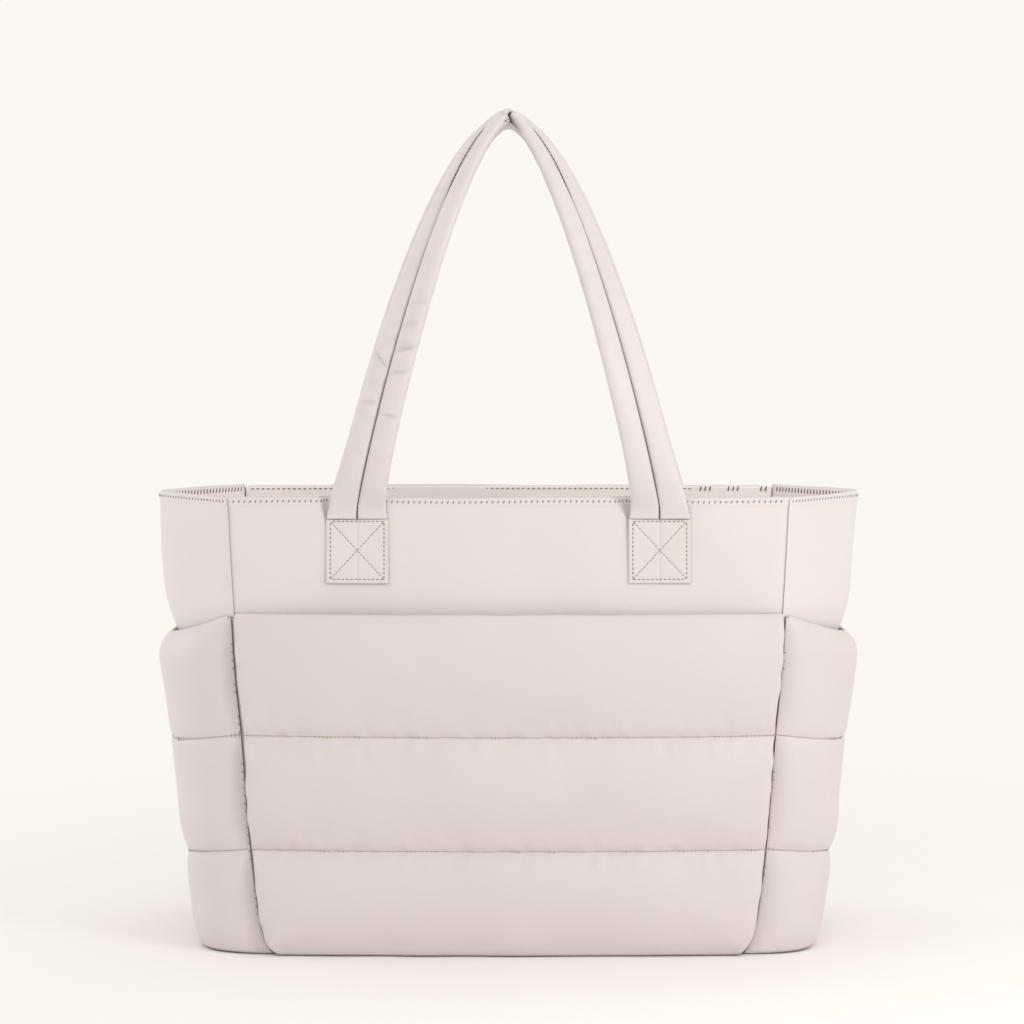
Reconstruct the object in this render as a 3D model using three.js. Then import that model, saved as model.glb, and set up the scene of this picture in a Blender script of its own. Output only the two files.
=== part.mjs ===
// Quilted puffer tote: padded walls, a stuffed patch pocket in front, a stuffed pocket on
// each gusset, and two padded shoulder handles that lean together at the top.
// Millimetres, +Z up, the front faces -Y, the origin is under the middle of the bag on the floor.

import * as THREE from 'three';
import { LoftGeometry } from 'three/addons/geometries/LoftGeometry.js';

// Driving dimensions
const RIM_HEIGHT = 302;
const MOUTH_HEIGHT = 225;
const QUILT_SEAMS = [0, 70, 146];
const SEAM_GAP = 0.3;
const WALL = 4;
const GUSSET_WALL = { atSeam: 7, atFold: 5 };
const FLOOR_CLEARANCE = 0.8;

const BASE = { thickness: 6, rolledEdge: 1.5 };
const STUFFING = { edge: 3, puff: 11, mouthRoll: 2, squareness: 10 };
const SLOT_SQUARENESS = 4;
const FRONT_POCKET = { inset: 2.5, slot: 9, slotFrom: 8, slotTo: 140 };
const FRONT_POCKET_CORNER = { inset: 18, height: 45 };
const SIDE_POCKET = { inset: 1.2, slotFrom: 8, slotTo: 50 };
const BACK_PUFF = 14.4;

const STRAP = { halfWidth: 18, halfThickness: 4.6, lift: 5, turn: 0.4 * Math.PI, earlyTurn: 0.5 };
const STRAP_END = { halfWidth: 21.5, bottom: 245, top: 289, thickness: 3, rise: 8 };
const STRAP_PEAK = { slant: Math.PI / 5, depth: 18.3, turn: Math.PI / 2 };
const STRAP_LOW_PULL = { inward: 11, forward: 7, height: 351 };
const STRAP_HIGH_PULL = { outward: 41, forward: 23, height: 527 };

const FABRIC = { roughness: 0.5, metalness: 0 };
const SHELL_COLOUR = 0xe4d8d3;
const POCKET_COLOUR = 0xe2d7d4;
const STRAP_COLOUR = 0xe2d7cf;
const BASE_COLOUR = 0xd9ccc6;

// Plan of the body at each height: half-width at the four upright seams, half-width at the
// gusset fold, half-depth at the seams, how blunt the fold is (0 sharp, 1 round), how square the
// gusset's corners are (1 slanting), and how far the front and the back swell at mid-width.
const BODY_PLAN = [
  { height: 0, seam: 168, fold: 196, depth: 86, blunt: 1, square: 4, front: 4, back: 6 },
  { height: 70, seam: 172.7, fold: 201, depth: 87, blunt: 0.8, square: 2.6, front: 6, back: 12 },
  { height: 146, seam: 177.7, fold: 208, depth: 86.5, blunt: 0.55, square: 1.6, front: 6, back: 14 },
  { height: 185, seam: 180.3, fold: 217, depth: 85.5, blunt: 0.45, square: 1.3, front: 6, back: 12 },
  { height: 225, seam: 183, fold: 232.5, depth: 83.5, blunt: 0.32, square: 1.1, front: 6, back: 9 },
  { height: 260, seam: 185.2, fold: 237.5, depth: 80.5, blunt: 0.2, square: 1, front: 6, back: 7 },
  { height: RIM_HEIGHT, seam: 187.5, fold: 240, depth: 77, blunt: 0.12, square: 1, front: 6, back: 6 },
];

// Side pocket at each height: how far the middle of its stuffing stands off the gusset fold, and
// how far it sags there.
const SIDE_POCKET_STAND = [
  { height: 0, standOff: 10, sag: 0 },
  { height: 10, standOff: 12.5, sag: 1 },
  { height: 35, standOff: 14.2, sag: 6 },
  { height: 70, standOff: 20.5, sag: 10 },
  { height: 108, standOff: 19.5, sag: 10 },
  { height: 146, standOff: 22.8, sag: 10 },
  { height: 187, standOff: 15, sag: 13 },
  { height: 225, standOff: 12.8, sag: 18 },
];

// Handles: the wall each is sewn to, where its ends sit across that wall, and its peak.
const FRONT_HANDLE = { crown: 'front', endCentre: 100, peakRadius: 8.5, peakTop: 558 };
const BACK_HANDLE = { crown: 'back', endCentre: 107, peakRadius: 17, peakTop: 556 };

// Strap cross-section: place across it, and how full its face is there, where the strap is
// stuffed in two lobes beside a sewn centre line and where its end is pressed flat.
const STRAP_FACE = [
  { across: -0.92, stuffed: 0.6, pressed: 1 },
  { across: -0.5, stuffed: 1, pressed: 1 },
  { across: -0.1, stuffed: 0.55, pressed: 1 },
  { across: 0, stuffed: 0.35, pressed: 1 },
  { across: 0.1, stuffed: 0.55, pressed: 1 },
  { across: 0.5, stuffed: 1, pressed: 1 },
  { across: 0.92, stuffed: 0.6, pressed: 1 },
];

/** Smooth curves through the rows of a table, looked up by the table's first column. */
function smoothTable(rows) {
  const [key, ...columns] = Object.keys(rows[0]);
  const curves = new THREE.CubicInterpolant(
    rows.map((row) => row[key]),
    rows.flatMap((row) => columns.map((column) => row[column])),
    columns.length,
  );
  return (at) => {
    const values = curves.evaluate(at);
    return Object.fromEntries(columns.map((column, index) => [column, values[index]]));
  };
}

/** Numbers from -1 to 1, closer together towards both ends. */
function spread(steps) {
  return Array.from({ length: steps + 1 }, (_, i) => Math.sin((i / steps - 0.5) * Math.PI));
}

/** A closed solid through rings of points, one ring for each height or station. */
function loft(rings) {
  return new LoftGeometry(rings, { capStart: true, capEnd: true });
}

const bodyPlan = smoothTable(BODY_PLAN);
const sideStand = smoothTable(SIDE_POCKET_STAND);

const WALL_HEIGHTS = [FLOOR_CLEARANCE, 15, 35, 52, 70, 110, 146, 185, 225, 260, RIM_HEIGHT];
const CHANNEL_STEPS = [0, 0.05, 0.2, 0.5, 0.8, 0.95];
const QUILT_HEIGHTS = quiltHeights();

/** Heights from the floor to the pocket mouths, closer together beside each sewn seam. */
function quiltHeights() {
  const tops = [...QUILT_SEAMS.slice(1), MOUTH_HEIGHT];
  const heights = QUILT_SEAMS.flatMap((seam, i) =>
    CHANNEL_STEPS.map((step) => seam + (tops[i] - seam) * step),
  );
  heights[0] = FLOOR_CLEARANCE;
  return [...heights, MOUTH_HEIGHT];
}

/** How full a stuffed channel is at a height: 0 on a seam, 1 half-way, a half-ellipse between. */
function fullness(height) {
  const tops = [...QUILT_SEAMS.slice(1), MOUTH_HEIGHT + STUFFING.mouthRoll];
  const channel = QUILT_SEAMS.findLastIndex((seam) => height >= seam);
  const place = (height - QUILT_SEAMS[channel]) / (tops[channel] - QUILT_SEAMS[channel]);
  return Math.sqrt(Math.max(0, 1 - (2 * place - 1) ** 2));
}

/** Depth of a wall's outer face: the seams' depth and its own crown at mid-width. */
function wallDepth(crown, x, height) {
  const plan = bodyPlan(height);
  return plan.depth + plan[crown] * (1 - (x / plan.seam) ** 2);
}

/** Ring of a wall that faces -Y: its outer face from left to right, then its inner face back. */
function wallRing(halfWidth, height, places, outerDepth, innerDepth) {
  const point = (depth) => (place) =>
    new THREE.Vector3(place * halfWidth, -depth(place), height);
  return [...places.map(point(outerDepth)), ...places.map(point(innerDepth)).reverse()];
}

function frontPanel() {
  const places = spread(12);
  return loft(
    WALL_HEIGHTS.map((height) => {
      const halfWidth = bodyPlan(height).seam - SEAM_GAP / 2;
      const face = (place) => wallDepth('front', place * halfWidth, height);
      return wallRing(halfWidth, height, places, face, (place) => face(place) - WALL);
    }),
  );
}

/** The back wall, made facing -Y: it swells more than the front and is quilted up to the mouths. */
function backPanel() {
  const places = spread(12);
  const plainHeights = WALL_HEIGHTS.filter((height) => height > MOUTH_HEIGHT);
  return loft(
    [...QUILT_HEIGHTS, ...plainHeights].map((height) => {
      const halfWidth = bodyPlan(height).seam - SEAM_GAP / 2;
      const puff = height < MOUTH_HEIGHT ? BACK_PUFF * fullness(height) : 0;
      const face = (place) => wallDepth('back', place * halfWidth, height);
      const quilted = (place) => face(place) + puff * sideTaper(place);
      return wallRing(halfWidth, height, places, quilted, (place) => face(place) - WALL);
    }),
  );
}

/** Stuffing across a quilted piece: full over the middle, rounded off at its two sewn sides. */
function sideTaper(place) {
  return Math.sqrt(Math.max(0, 1 - Math.abs(place) ** STUFFING.squareness));
}

/** How wide the slot behind a pocket stands open across it: most in the middle, shut at the seams. */
function slotTaper(place) {
  return 1 - Math.abs(place) ** SLOT_SQUARENESS;
}

/** The patch pocket: an open slot behind it, three stuffed channels and round lower corners. */
function frontPocket() {
  const places = spread(16);
  const { inset, slot, slotFrom, slotTo } = FRONT_POCKET;
  return loft(
    QUILT_HEIGHTS.map((height) => {
      const below = Math.max(0, 1 - height / FRONT_POCKET_CORNER.height);
      const corner = FRONT_POCKET_CORNER.inset * (1 - Math.sqrt(1 - below ** 2));
      const halfWidth = bodyPlan(height).seam - inset - corner;
      const opened = slot * THREE.MathUtils.smoothstep(height, slotFrom, slotTo);
      const puff = STUFFING.puff * fullness(height);
      const inner = (place) =>
        wallDepth('front', place * halfWidth, height) + SEAM_GAP + opened * slotTaper(place);
      const outer = (place) => inner(place) + STUFFING.edge + puff * sideTaper(place);
      return wallRing(halfWidth, height, places, outer, inner);
    }),
  );
}

/** Outer face of the right gusset: from the front seam (-1) over the fold (0) to the back (1). */
function gussetPoint(place, height) {
  const { seam, fold, depth, blunt, square } = bodyPlan(height);
  const slope = (Math.hypot(place, blunt) - blunt) / (Math.hypot(1, blunt) - blunt);
  const reach = (fold - seam) * (1 - slope ** square);
  return new THREE.Vector2(seam + SEAM_GAP / 2 + reach, place * depth);
}

/** Inner face of the right gusset: the outer face drawn in towards the middle of the bag. */
function gussetInnerPoint(place, height) {
  const { seam, fold, depth } = bodyPlan(height);
  const start = seam + SEAM_GAP / 2;
  const { x, y } = gussetPoint(place, height);
  return new THREE.Vector2(
    start + (x - start) * (1 - GUSSET_WALL.atFold / (fold - seam)),
    y * (1 - GUSSET_WALL.atSeam / depth),
  );
}

function gusset() {
  const places = spread(14);
  return loft(
    WALL_HEIGHTS.map((height) => {
      const outer = places.map((place) => gussetPoint(place, height));
      const inner = places.map((place) => gussetInnerPoint(place, height)).reverse();
      return [...outer, ...inner].map(({ x, y }) => new THREE.Vector3(x, y, height));
    }),
  );
}

/** The right side pocket: it stands off the gusset, thins out at both seams, and sags between them. */
function sidePocket() {
  const places = spread(14);
  const { inset, slotFrom, slotTo } = SIDE_POCKET;
  const nearby = 0.01;
  const point = (side, row, place) => {
    const { standOff, sag } = sideStand(row);
    const height = row - sag * (1 - place ** 2);
    const at = place * (1 - inset / bodyPlan(height).depth);
    const along = gussetPoint(at + nearby, height).sub(gussetPoint(at - nearby, height));
    const outward = new THREE.Vector2(along.y, -along.x).normalize();
    const puff = STUFFING.puff * fullness(row);
    const slot = (standOff - (STUFFING.edge + puff) / 2) * slotTaper(place);
    const opened = THREE.MathUtils.smoothstep(row, slotFrom, slotTo);
    const stuffing = STUFFING.edge + puff * sideTaper(place);
    const offset = SEAM_GAP + (side ? slot + stuffing : slot * opened);
    const { x, y } = gussetPoint(at, height).addScaledVector(outward, offset);
    return new THREE.Vector3(x, y, height);
  };
  return loft(
    QUILT_HEIGHTS.map((row) => {
      const outer = places.map((place) => point(1, row, place));
      const inner = places.map((place) => point(0, row, place)).reverse();
      return [...outer, ...inner];
    }),
  );
}

/** The padded bottom: the plan inside the four walls at floor level, with a rolled edge. */
function basePanel() {
  const clear = SEAM_GAP + BASE.rolledEdge;
  const drawnIn = 1 - (clear * Math.SQRT2) / bodyPlan(0).depth;
  const side = spread(12).map((place) => gussetInnerPoint(place, 0));
  side.forEach((point) => point.set(point.x - clear * Math.SQRT2, point.y * drawnIn));
  const corner = side[side.length - 1];
  const middle = (crown) => wallDepth(crown, 0, 0) - WALL - clear;
  const bow = (crown) => 2 * middle(crown) - corner.y;
  const outline = new THREE.Shape();
  outline.moveTo(-corner.x, -corner.y);
  outline.quadraticCurveTo(0, -bow('front'), corner.x, -corner.y);
  side.slice(1).forEach(({ x, y }) => outline.lineTo(x, y));
  outline.quadraticCurveTo(0, bow('back'), -corner.x, corner.y);
  side.slice(1, -1).forEach(({ x, y }) => outline.lineTo(-x, -y));
  const slab = new THREE.ExtrudeGeometry(outline, {
    depth: BASE.thickness - 2 * BASE.rolledEdge,
    bevelSize: BASE.rolledEdge,
    bevelThickness: BASE.rolledEdge,
    bevelSegments: 2,
    curveSegments: 10,
  });
  return slab.translate(0, 0, BASE.rolledEdge);
}

/** Ring of a strap: its outer face across, then its under face back, with one point per edge. */
function strapRing(shape, place) {
  const edge = (across) => place(across, 0);
  const face = (side) => STRAP_FACE.map((row) => place(row.across, side * row[shape]));
  return [edge(1), ...face(-1).reverse(), edge(-1), ...face(1)];
}

/** Sewn end of the right leg at a height: pressed flat on the wall's outer face. */
function strapEndRing(crown, centre, height) {
  const half = STRAP_END.thickness / 2;
  return strapRing('pressed', (across, fill) => {
    const x = centre + across * STRAP_END.halfWidth;
    const depth = wallDepth(crown, x, height) + SEAM_GAP + half * (1 + fill);
    return new THREE.Vector3(x, -depth, height);
  });
}

/** Free strap at a point of its centre line, turned about the line from flat to edge on. */
function strapFreeRing(centre, along, turn) {
  const outward = new THREE.Vector3(along.z, 0, -along.x).normalize();
  const across = outward.multiplyScalar(Math.cos(turn));
  across.y += Math.sin(turn);
  across.addScaledVector(along, -across.dot(along)).normalize();
  const normal = across.clone().cross(along);
  return strapRing('stuffed', (place, fill) =>
    centre
      .clone()
      .addScaledVector(across, place * STRAP.halfWidth)
      .addScaledVector(normal, fill * STRAP.halfThickness),
  );
}

/** Centre line of the free right leg: it leaves its wall upright and bends over to the peak. */
function strapLeg({ crown, endCentre, peakRadius, peakTop }) {
  const low = STRAP_LOW_PULL;
  const high = STRAP_HIGH_PULL;
  const { slant, depth } = STRAP_PEAK;
  const standOff = SEAM_GAP + STRAP.halfThickness + STRAP.lift;
  const startDepth = wallDepth(crown, endCentre, STRAP_END.top) + standOff;
  const halfSpan = peakRadius * Math.sin(slant);
  return new THREE.CubicBezierCurve3(
    new THREE.Vector3(endCentre, -startDepth, STRAP_END.top + STRAP_END.rise),
    new THREE.Vector3(endCentre - low.inward, -startDepth - low.forward, low.height),
    new THREE.Vector3(halfSpan + high.outward, -depth - high.forward, high.height),
    new THREE.Vector3(halfSpan, -depth, peakTop - peakRadius * (1 - Math.cos(slant))),
  );
}

/** A handle that faces -Y: the right leg's rings from its sewn end to the peak, then their mirror. */
function handle(strap) {
  const { crown, endCentre, peakRadius, peakTop } = strap;
  const { bottom, top } = STRAP_END;
  const endHeights = [bottom, (bottom + top) / 2, top];
  const endRings = endHeights.map((height) => strapEndRing(crown, endCentre, height));
  const leg = strapLeg(strap);
  const legSteps = 16;
  const legRings = Array.from({ length: legSteps + 1 }, (_, i) => {
    const t = i / legSteps;
    const turn = STRAP.turn * t * (1 + STRAP.earlyTurn * (1 - t));
    return strapFreeRing(leg.getPoint(t), leg.getTangent(t), turn);
  });
  const peakRings = [STRAP_PEAK.slant / 2, 0].map((angle) => {
    const x = peakRadius * Math.sin(angle);
    const height = peakTop - peakRadius * (1 - Math.cos(angle));
    const along = new THREE.Vector3(-Math.cos(angle), 0, Math.sin(angle));
    const turn = THREE.MathUtils.lerp(STRAP_PEAK.turn, STRAP.turn, angle / STRAP_PEAK.slant);
    return strapFreeRing(new THREE.Vector3(x, -STRAP_PEAK.depth, height), along, turn);
  });
  const right = [...endRings, ...legRings, ...peakRings];
  const mirrored = ({ x, y, z }) => new THREE.Vector3(-x, y, z);
  const left = right.slice(0, -1).map((ring) => ring.map(mirrored));
  return loft([...right, ...left.reverse()]);
}

function piece(name, geometry, color, turned = false) {
  const mesh = new THREE.Mesh(geometry, new THREE.MeshStandardMaterial({ color, ...FABRIC }));
  mesh.name = name;
  mesh.rotation.z = turned ? Math.PI : 0;
  return mesh;
}

const bag = new THREE.Group();
bag.add(
  piece('front_panel', frontPanel(), SHELL_COLOUR),
  piece('back_panel', backPanel(), SHELL_COLOUR, true),
  piece('right_gusset', gusset(), SHELL_COLOUR),
  piece('left_gusset', gusset(), SHELL_COLOUR, true),
  piece('base_panel', basePanel(), BASE_COLOUR),
  piece('front_pocket', frontPocket(), POCKET_COLOUR),
  piece('right_side_pocket', sidePocket(), POCKET_COLOUR),
  piece('left_side_pocket', sidePocket(), POCKET_COLOUR, true),
  piece('front_handle', handle(FRONT_HANDLE), STRAP_COLOUR),
  piece('back_handle', handle(BACK_HANDLE), STRAP_COLOUR, true),
);

export default bag;
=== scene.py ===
import math
from functools import partial

import bpy
import numpy as np
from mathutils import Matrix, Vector


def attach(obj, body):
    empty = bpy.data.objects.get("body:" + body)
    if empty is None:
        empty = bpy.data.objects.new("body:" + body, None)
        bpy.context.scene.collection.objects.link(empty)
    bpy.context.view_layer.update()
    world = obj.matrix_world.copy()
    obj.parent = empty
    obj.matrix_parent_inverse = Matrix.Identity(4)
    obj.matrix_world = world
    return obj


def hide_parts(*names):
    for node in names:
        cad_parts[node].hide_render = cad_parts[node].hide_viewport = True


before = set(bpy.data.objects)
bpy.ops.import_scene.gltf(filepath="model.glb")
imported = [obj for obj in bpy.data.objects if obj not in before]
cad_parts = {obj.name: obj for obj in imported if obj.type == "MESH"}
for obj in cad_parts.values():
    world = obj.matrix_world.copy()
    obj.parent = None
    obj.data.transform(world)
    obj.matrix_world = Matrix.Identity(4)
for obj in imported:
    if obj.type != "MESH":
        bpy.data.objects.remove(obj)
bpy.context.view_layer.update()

# Base panel
# The bottom that the bag stands on: nylon over a firm sheet of wadding, cut to the plan inside
# the four walls and sewn to their feet. Sizes in this file are millimetres until a mesh is made.
MM = 0.001
WALL = 4.0
SEAM_GAP = 0.9
BASE_THICKNESS = 6.0
BASE_CROWN = 1.5
BASE_CLEAR = 2.5
BASE_REACH = 0.985
BASE_COLUMNS = 61
BASE_ROWS = 41
BASE_ROLLS = {"foot": 0.3, "sides": 0.3, "top": 0.3}
GUSSET_WALL_AT_SEAM = 4.2
GUSSET_WALL_AT_FOLD = 5.0
BASE_COLOUR = "#d9ccc6"
BASE_SHADED = "#cfc1bb"
# Painted shade: the colour that the nylon darkens towards in narrow creases, slits and gaps.
CREASE_SHADE_COLOUR = "#7d6e67"

# Height, half-width at the upright seams, half-width at the gusset fold, half-depth at the
# seams, bluntness of the fold, squareness of the gusset's corners, and how far the front and the
# back swell at mid-width.
BODY_PLAN = (
    (0, 154.5, 196, 92, 1.0, 5, 4, 4),
    (9, 160.3, 196.6, 92, 0.98, 4.8, 4.3, 5),
    (25, 164.4, 197.7, 91, 0.93, 4.4, 4.8, 7),
    (70, 170.4, 201, 88.4, 0.8, 3, 6, 12),
    (146, 176.4, 208, 86.5, 0.55, 1.6, 6, 14),
    (185, 180.3, 217, 85.5, 0.45, 1.3, 6, 12),
    (225, 183, 232.5, 83.5, 0.32, 1.1, 6, 9),
    (260, 185.2, 237.5, 80.5, 0.2, 1, 6, 7),
    (302, 187.5, 240, 77, 0.12, 1, 6, 6),
)
FRONT_CROWN = 5
BACK_CROWN = 6


def smooth_table(rows):
    """Look-up of a table's later columns by its first: cubic Hermite curves through the rows,
    whose slope at a row is that of the chord between its two neighbours."""
    table = np.array(rows, float)
    keys = table[:, 0]
    values = table[:, 1:]
    chords = np.diff(values, axis=0) / np.diff(keys)[:, None]
    slopes = np.empty_like(values)
    slopes[1:-1] = (values[2:] - values[:-2]) / (keys[2:] - keys[:-2])[:, None]
    slopes[0] = (3 * chords[0] - slopes[1]) / 2
    slopes[-1] = (3 * chords[-1] - slopes[-2]) / 2

    def look_up(at):
        at = np.asarray(at, float)
        row = np.clip(np.searchsorted(keys, at, side="right") - 1, 0, len(keys) - 2)
        step = keys[row + 1] - keys[row]
        t = ((at - keys[row]) / step)[..., None]
        rise = step[..., None]
        start = (1 + 2 * t) * (1 - t) ** 2 * values[row] + t * (1 - t) ** 2 * rise * slopes[row]
        end = t**2 * (3 - 2 * t) * values[row + 1] - t**2 * (1 - t) * rise * slopes[row + 1]
        return np.moveaxis(start + end, -1, 0)

    return look_up


body_plan = smooth_table(BODY_PLAN)


def spread(count):
    """Numbers from -1 to 1 that crowd towards both ends: the sine of evenly spaced angles."""
    return np.sin(np.linspace(-math.pi / 2, math.pi / 2, count))


def points(x, y, z):
    """Three coordinate arrays, stretched to one shape, as an array of points."""
    return np.stack(np.broadcast_arrays(x, y, z), axis=-1).astype(float)


def unit(vectors):
    """Vectors brought to length 1."""
    return vectors / np.linalg.norm(vectors, axis=-1, keepdims=True)


def gusset_outline(place, height):
    """Plan of the right gusset's outer face: place runs from the front seam (-1) over the fold (0)
    to the back seam (1), and the way in from the fold is a hyperbola as blunt as the table says."""
    seam, fold, depth, blunt, square = body_plan(height)[:5]
    slope = (np.hypot(place, blunt) - blunt) / (np.hypot(1, blunt) - blunt)
    return seam + SEAM_GAP / 2 + (fold - seam) * (1 - slope**square), place * depth


def gusset_inner_outline(place, height):
    """Plan of the gusset's inner face: the outer one drawn in by the wall at the fold and seams."""
    seam, fold, depth = body_plan(height)[:3]
    start = seam + SEAM_GAP / 2
    x, y = gusset_outline(place, height)
    inner_x = start + (x - start) * (1 - GUSSET_WALL_AT_FOLD / (fold - seam))
    return inner_x, y * (1 - GUSSET_WALL_AT_SEAM / depth)


def numbered(grid):
    """Vertex numbers of a grid of points, in the grid's own shape."""
    rows, columns = grid.shape[:2]
    return np.arange(rows * columns).reshape(rows, columns)


def grid_quads(index):
    """Corner numbers of the quads between neighbouring entries of a grid of vertex numbers."""
    corners = (index[:-1, :-1], index[:-1, 1:], index[1:, 1:], index[1:, :-1])
    return np.stack(corners, axis=-1).reshape(-1, 4)


def shell(outer, inner, foot=0.0, sides=0.0, top=0.5):
    """Closed wall between two faces on the same grid. Round their borders runs a strip whose
    middle line lies half-way between them, pushed outwards by a share of the wall's thickness:
    one share for the first row, one for the first and last columns, one for the last row."""
    index = numbered(outer)
    rows, columns = index.shape
    count = index.size
    row, column = np.divmod(index, columns)
    inside = index[np.clip(row, 1, rows - 2), np.clip(column, 1, columns - 2)].ravel()
    loop = np.concatenate([index[0, :-1], index[:-1, -1], index[-1, :0:-1], index[:0:-1, 0]])
    roll = np.repeat([foot, sides, top, sides], [columns - 1, rows - 1] * 2)
    front = outer.reshape(-1, 3)
    back = inner.reshape(-1, 3)
    middle = (front + back) / 2
    thickness = np.linalg.norm(front - back, axis=1, keepdims=True)
    way_out = unit(middle[loop] - middle[inside[loop]])
    edge = middle[loop] + way_out * thickness[loop] * roll[:, None]
    ahead = np.roll(loop, -1)
    edge_index = 2 * count + np.arange(len(loop))
    edge_ahead = np.roll(edge_index, -1)
    faces = np.concatenate([
        grid_quads(index),
        grid_quads(index)[:, ::-1] + count,
        np.stack([ahead, loop, edge_index, edge_ahead], axis=-1),
        np.stack([edge_ahead, edge_index, loop + count, ahead + count], axis=-1),
    ])
    return np.concatenate([front, back, edge]), faces


def linear_colour(hex_colour):
    """An sRGB hex colour as the linear red, green, blue and alpha that a shader takes."""
    srgb = np.array([int(hex_colour[i:i + 2], 16) for i in (1, 3, 5)]) / 255
    linear = np.where(srgb <= 0.04045, srgb / 12.92, ((srgb + 0.055) / 1.055) ** 2.4)
    return (*linear.tolist(), 1.0)


def empty_tree(owner):
    """The node tree of a material or a world, emptied."""
    owner.use_nodes = True
    owner.node_tree.nodes.clear()
    return owner.node_tree


def add_node(tree, kind, inputs=None, **settings):
    """Add a shader node, set its options, and fill its inputs with values or links."""
    node = tree.nodes.new(kind)
    for name, value in settings.items():
        setattr(node, name, value)
    for name, value in (inputs or {}).items():
        if isinstance(value, bpy.types.NodeSocket):
            tree.links.new(value, node.inputs[name])
        else:
            node.inputs[name].default_value = value
    return node


def puffer_nylon(name, colour, shaded_colour, crease_shade_colour=CREASE_SHADE_COLOUR):
    """Down-proof woven nylon with a soft calendered face: near matt, with a faint sheen, colour
    that drifts a little over a hand's width, painted shade that darkens it in narrow creases, slits
    and gaps where ambient occlusion finds them, and a shallow crinkle where wadding pushes it out.
    The real threads lie 0.2 mm apart, so the weave is drawn at 0.9 mm to show at all close up."""
    drift_mm, crease_mm, crinkle_mm, thread_mm = 70, 5, 16, 0.9
    wave_turn = 20 / (2 * math.pi)
    material = bpy.data.materials.new(name)
    tree = empty_tree(material)
    where = add_node(tree, "ShaderNodeTexCoord")
    drift = add_node(tree, "ShaderNodeTexNoise", {
        "Vector": where.outputs["Object"], "Scale": 1 / (drift_mm * MM), "Detail": 2.0,
    })
    tint = add_node(tree, "ShaderNodeMix", {
        0: drift.outputs["Fac"], 6: linear_colour(shaded_colour), 7: linear_colour(colour),
    }, data_type="RGBA")
    # Painted shade: ambient occlusion within a few millimetres darkens the colour towards the
    # crease shade colour.
    open_air = add_node(tree, "ShaderNodeAmbientOcclusion", {"Distance": crease_mm * MM}, samples=4)
    crease_shade_mask = add_node(tree, "ShaderNodeMapRange", {
        "Value": open_air.outputs["AO"], "From Min": 0.08, "From Max": 0.38,
    })
    crease_shaded = add_node(tree, "ShaderNodeMix", {
        0: crease_shade_mask.outputs["Result"], 6: linear_colour(crease_shade_colour), 7: tint.outputs[2],
    }, data_type="RGBA")
    crinkle = add_node(tree, "ShaderNodeTexNoise", {
        "Vector": where.outputs["Object"], "Scale": 1 / (crinkle_mm * MM), "Detail": 3.0,
        "Roughness": 0.45,
    })
    thread_scale = 1 / (thread_mm * MM * wave_turn)
    warp = add_node(tree, "ShaderNodeTexWave", {
        "Vector": where.outputs["UV"], "Scale": thread_scale,
    }, bands_direction="X")
    weft = add_node(tree, "ShaderNodeTexWave", {
        "Vector": where.outputs["UV"], "Scale": thread_scale,
    }, bands_direction="Y")
    weave = add_node(tree, "ShaderNodeMath", {
        0: warp.outputs["Fac"], 1: weft.outputs["Fac"],
    }, operation="MULTIPLY")
    crinkled = add_node(tree, "ShaderNodeBump", {
        "Height": crinkle.outputs["Fac"], "Strength": 0.1, "Distance": 4 * MM,
    })
    woven = add_node(tree, "ShaderNodeBump", {
        "Height": weave.outputs["Value"], "Strength": 0.06, "Distance": 0.2 * MM,
        "Normal": crinkled.outputs["Normal"],
    })
    cloth = add_node(tree, "ShaderNodeBsdfPrincipled", {
        "Base Color": crease_shaded.outputs[2], "Roughness": 0.5, "IOR": 1.5, "Specular IOR Level": 0.35,
        "Sheen Weight": 0.12, "Sheen Roughness": 0.4, "Normal": woven.outputs["Normal"],
    })
    add_node(tree, "ShaderNodeOutputMaterial", {"Surface": cloth.outputs["BSDF"]})
    return material


def placed(name, data):
    """A new object in the scene that shows a mesh, a lamp or a camera."""
    item = bpy.data.objects.new(name, data)
    bpy.context.scene.collection.objects.link(item)
    return item


def make_piece(name, shape, material, facing="front", lining=None):
    """A smooth mesh object at the origin from points in millimetres and faces. Pieces at the back
    and on the left come as their opposites and are turned half round the bag's upright axis. The
    UV map, in metres, is taken from each point's way round the bag and its height. A lined shell
    has its second material on its inner face, which is the second lot of quads of its grid."""
    vertices, faces = shape
    if facing in ("back", "left"):
        vertices = vertices * np.array([-1.0, -1.0, 1.0])
    mesh = bpy.data.meshes.new(name)
    mesh.from_pydata((vertices * MM).tolist(), [], np.asarray(faces, object).tolist())
    corners = np.empty(len(mesh.loops), int)
    mesh.loops.foreach_get("vertex_index", corners)
    cloth_plan = np.stack([vertices[:, 0] + vertices[:, 1], vertices[:, 2]], axis=1) * MM
    mesh.uv_layers.new(name="cloth").data.foreach_set("uv", cloth_plan[corners].ravel())
    mesh.polygons.foreach_set("use_smooth", np.ones(len(mesh.polygons), bool))
    mesh.materials.append(material)
    if lining:
        lining_material, count = lining
        inside = np.zeros(len(mesh.polygons), int)
        inside[count:2 * count] = 1
        mesh.materials.append(lining_material)
        mesh.polygons.foreach_set("material_index", inside)
    piece = placed(name, mesh)
    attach(piece, "root")
    return piece


def base_plan(across, along):
    """Plan of the bottom: across runs between the gussets' insides, along from front to back."""
    side_x, side_y = gusset_inner_outline(along, 0 * along)
    front_crown, back_crown = body_plan(0.0)[FRONT_CROWN:]
    bow = np.where(along < 0, front_crown, back_crown) + GUSSET_WALL_AT_SEAM - WALL - BASE_CLEAR
    bowed_y = side_y + np.sign(along) * along**2 * bow * (1 - across**2)
    return across * (side_x - BASE_CLEAR), bowed_y


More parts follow.
